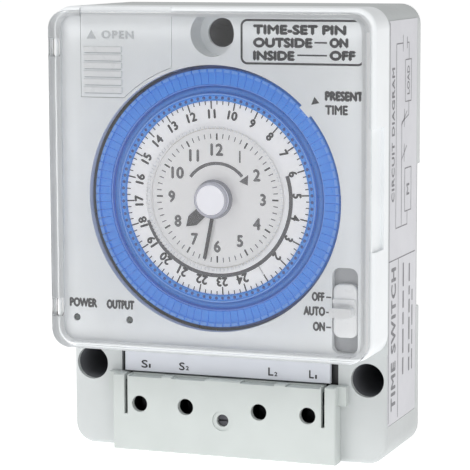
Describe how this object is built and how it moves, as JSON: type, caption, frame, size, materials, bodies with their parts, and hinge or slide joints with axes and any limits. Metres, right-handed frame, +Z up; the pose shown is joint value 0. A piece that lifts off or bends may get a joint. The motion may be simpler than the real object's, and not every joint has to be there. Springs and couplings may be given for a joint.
{
  "type": "programmable time switch",
  "caption": "Box-shaped heating time switch: clear hinged cover over a day dial with set pins, manual slide switch, lamps, battery door and covered terminals; rail or wall fixing.",
  "frame": {"origin": "centre of the footprint, on the plane of the lowest face", "axes": "+X to the right as seen from the front, +Y into the depth from the dial to the wall, +Z up"},
  "size_m": [0.082, 0.043, 0.11],
  "materials": {
    "case_plastic": "fine satin moulding, light grey white",
    "terminal_plastic": "satin moulding, light grey white",
    "clear_plastic": "clear polished moulding",
    "white_plastic": "glossy moulding, cool white",
    "blue_plastic": "glossy translucent blue moulding",
    "lamp_lens": "clear lamp lens",
    "black_plastic": "black moulding",
    "label_card": "printed lilac grey label",
    "face_print": "printed dial card",
    "grey_print": "grey painted hand",
    "gear_plastic": "natural acetal",
    "zinc_steel": "zinc plated",
    "nickel_brass": "plated brass",
    "board_laminate": "green circuit board",
    "cell_wrap": "wrapped rechargeable cell"
  },
  "bodies": {
    "case": {"rear_base": "case_plastic", "rating_label": "label_card", "case_screws": "zinc_steel", "front_case": "case_plastic", "battery": "cell_wrap", "battery_contacts": "zinc_steel", "terminal_block": "black_plastic", "contact_strips": "nickel_brass", "terminal_label": "label_card", "front_plate": "zinc_steel", "back_plate": "zinc_steel", "plate_pillars": "zinc_steel", "movement_screws": "zinc_steel", "clock_tube": "zinc_steel", "clock_face": "face_print", "motor": "zinc_steel", "lever_pivot": "zinc_steel", "snap_switch": "black_plastic", "slide_switch": "black_plastic", "power_lamp": "lamp_lens", "output_lamp": "lamp_lens", "lamp_board": "board_laminate", "control_board": "board_laminate", "storage_capacitor": "black_plastic", "film_capacitor": "blue_plastic", "control_chip": "black_plastic", "terminal_clamp_1": "zinc_steel", "terminal_clamp_2": "zinc_steel", "terminal_clamp_3": "zinc_steel", "terminal_clamp_4": "zinc_steel", "terminal_screw_1": "zinc_steel", "terminal_screw_2": "zinc_steel", "terminal_screw_3": "zinc_steel", "terminal_screw_4": "zinc_steel"},
    "cover": {"clear_cover": "clear_plastic"},
    "battery_door": {"battery_door": "case_plastic"},
    "terminal_cover": {"terminal_cover": "terminal_plastic", "terminal_cover_screw": "zinc_steel"},
    "latch": {"din_latch": "black_plastic"},
    "dial": {"dial_wheel": "gear_plastic", "dial_plate": "face_print", "pin_ring": "blue_plastic", "time_set_pins": "blue_plastic"},
    "pin_1": {"time_set_pin_1": "blue_plastic"},
    "pin_2": {"time_set_pin_2": "blue_plastic"},
    "pin_3": {"time_set_pin_3": "blue_plastic"},
    "pin_4": {"time_set_pin_4": "blue_plastic"},
    "hour": {"hour_wheel": "gear_plastic", "hour_hand": "grey_print"},
    "minute": {"minute_wheel": "gear_plastic", "minute_disc": "clear_plastic", "minute_hand": "grey_print", "set_knob": "white_plastic"},
    "first": {"first_wheel": "gear_plastic"},
    "second": {"second_wheel": "gear_plastic"},
    "motor_rotor": {"motor_pinion": "gear_plastic"},
    "lever": {"switch_lever": "black_plastic"},
    "button": {"switch_button": "white_plastic"},
    "slider": {"switch_knob": "white_plastic"}
  },
  "joints": [
    {"name": "cover_swing", "type": "hinge", "parent": "case", "child": "cover", "pos_m": [-0.0401, -0.016, 0.068], "axis": [0, 0, -1], "range_deg": [0, 110]},
    {"name": "battery_door_slide", "type": "slide", "parent": "case", "child": "battery_door", "axis": [0, 0, 1], "range_m": [0, 0.012]},
    {"name": "terminal_cover_off", "type": "slide", "parent": "case", "child": "terminal_cover", "axis": [0, -1, 0], "range_m": [0, 0.025]},
    {"name": "latch_slide", "type": "slide", "parent": "case", "child": "latch", "axis": [0, 0, -1], "range_m": [0, 0.0025], "stiffness_N_per_m": 400, "springref_m": -0.001},
    {"name": "dial_spin", "type": "hinge", "parent": "case", "child": "dial", "pos_m": [0.0005, 0, 0.0642], "axis": [0, 1, 0], "continuous": true},
    {"name": "pin_1_slide", "type": "slide", "parent": "dial", "child": "pin_1", "axis": [-0.3482, 0, 0.9374], "range_m": [0, 0.0009]},
    {"name": "pin_2_slide", "type": "slide", "parent": "dial", "child": "pin_2", "axis": [-0.4087, 0, 0.9127], "range_m": [0, 0.0009]},
    {"name": "pin_3_slide", "type": "slide", "parent": "dial", "child": "pin_3", "axis": [-0.4675, 0, 0.884], "range_m": [0, 0.0009]},
    {"name": "pin_4_slide", "type": "slide", "parent": "dial", "child": "pin_4", "axis": [-0.5244, 0, 0.8515], "range_m": [0, 0.0009]},
    {"name": "hour_spin", "type": "hinge", "parent": "case", "child": "hour", "pos_m": [0.0005, 0, 0.0642], "axis": [0, 1, 0], "continuous": true},
    {"name": "minute_spin", "type": "hinge", "parent": "case", "child": "minute", "pos_m": [0.0005, 0, 0.0642], "axis": [0, 1, 0], "continuous": true},
    {"name": "first_wheel_spin", "type": "hinge", "parent": "case", "child": "first", "pos_m": [-0.0115, 0, 0.0642], "axis": [0, 1, 0], "continuous": true},
    {"name": "second_wheel_spin", "type": "hinge", "parent": "case", "child": "second", "pos_m": [0.01349, 0, 0.0717], "axis": [0, 1, 0], "continuous": true},
    {"name": "motor_spin", "type": "hinge", "parent": "case", "child": "motor_rotor", "pos_m": [0.0005, 0, 0.0522], "axis": [0, 1, 0], "continuous": true},
    {"name": "lever_swing", "type": "hinge", "parent": "case", "child": "lever", "pos_m": [0.0352, 0, 0.084], "axis": [0, 1, 0], "range_deg": [0, 5], "stiffness_Nm_per_rad": 0.002, "springref_deg": -5.73},
    {"name": "button_press", "type": "slide", "parent": "case", "child": "button", "axis": [0, 0, 1], "range_m": [0, 0.00085]},
    {"name": "switch_slide", "type": "slide", "parent": "case", "child": "slider", "axis": [0, 0, 1], "range_m": [-0.0034, 0.0034]}
  ],
  "couplings": [
    {"joint": "hour_spin", "follows": "minute_spin", "ratio": 0.083333},
    {"joint": "dial_spin", "follows": "minute_spin", "ratio": 0.041667},
    {"joint": "first_wheel_spin", "follows": "minute_spin", "ratio": -0.33333},
    {"joint": "second_wheel_spin", "follows": "minute_spin", "ratio": -0.055556},
    {"joint": "motor_spin", "follows": "minute_spin", "ratio": -4},
    {"joint": "lever_swing", "follows": "button_press", "rad_per_m": 98.04}
  ]
}
